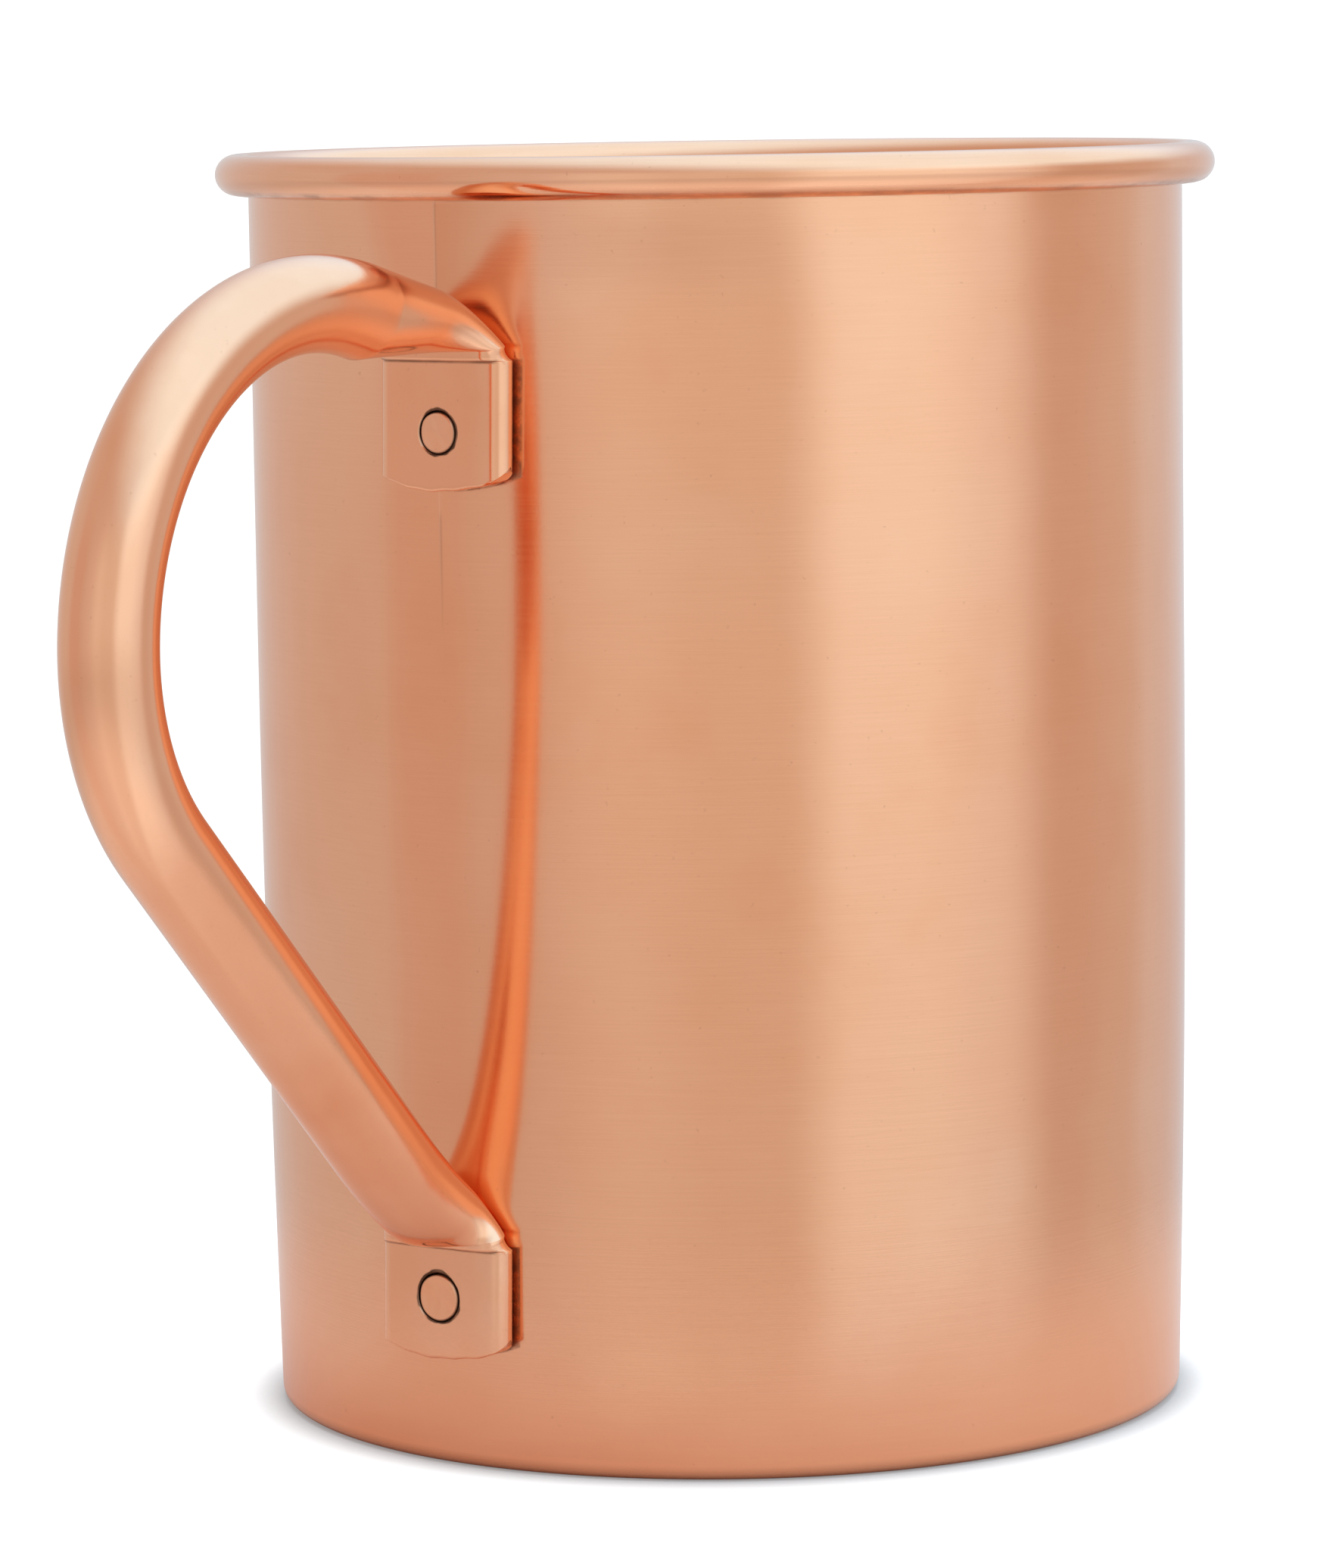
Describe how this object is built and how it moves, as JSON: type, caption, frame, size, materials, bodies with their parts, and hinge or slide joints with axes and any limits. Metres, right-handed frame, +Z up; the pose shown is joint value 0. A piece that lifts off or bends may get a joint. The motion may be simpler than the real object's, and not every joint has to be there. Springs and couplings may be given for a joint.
{
  "type": "mug",
  "caption": "Straight-sided copper tankard with a curled rim, a flat let-in base and a loop handle of bent tube, pressed flat and riveted to the wall at both ends",
  "frame": {"origin": "Centre of the base's underside, on the cup's axis, at the level the mug rests on", "axes": "+Z up along the cup's axis, +X from the axis towards the handle, +Y across the handle to complete a right-handed set"},
  "size_m": [0.1453, 0.095, 0.1196],
  "materials": {
    "cup_copper": "satin, finely brushed round the cup",
    "handle_copper": "satin, smoother than the cup",
    "rivet_copper": "satin with dark grime in the gap round it"
  },
  "bodies": {
    "root": {"cup_wall": "cup_copper", "base_disc": "cup_copper", "handle_tube": "handle_copper", "upper_rivet": "rivet_copper", "lower_rivet": "rivet_copper"}
  },
  "joints": []
}
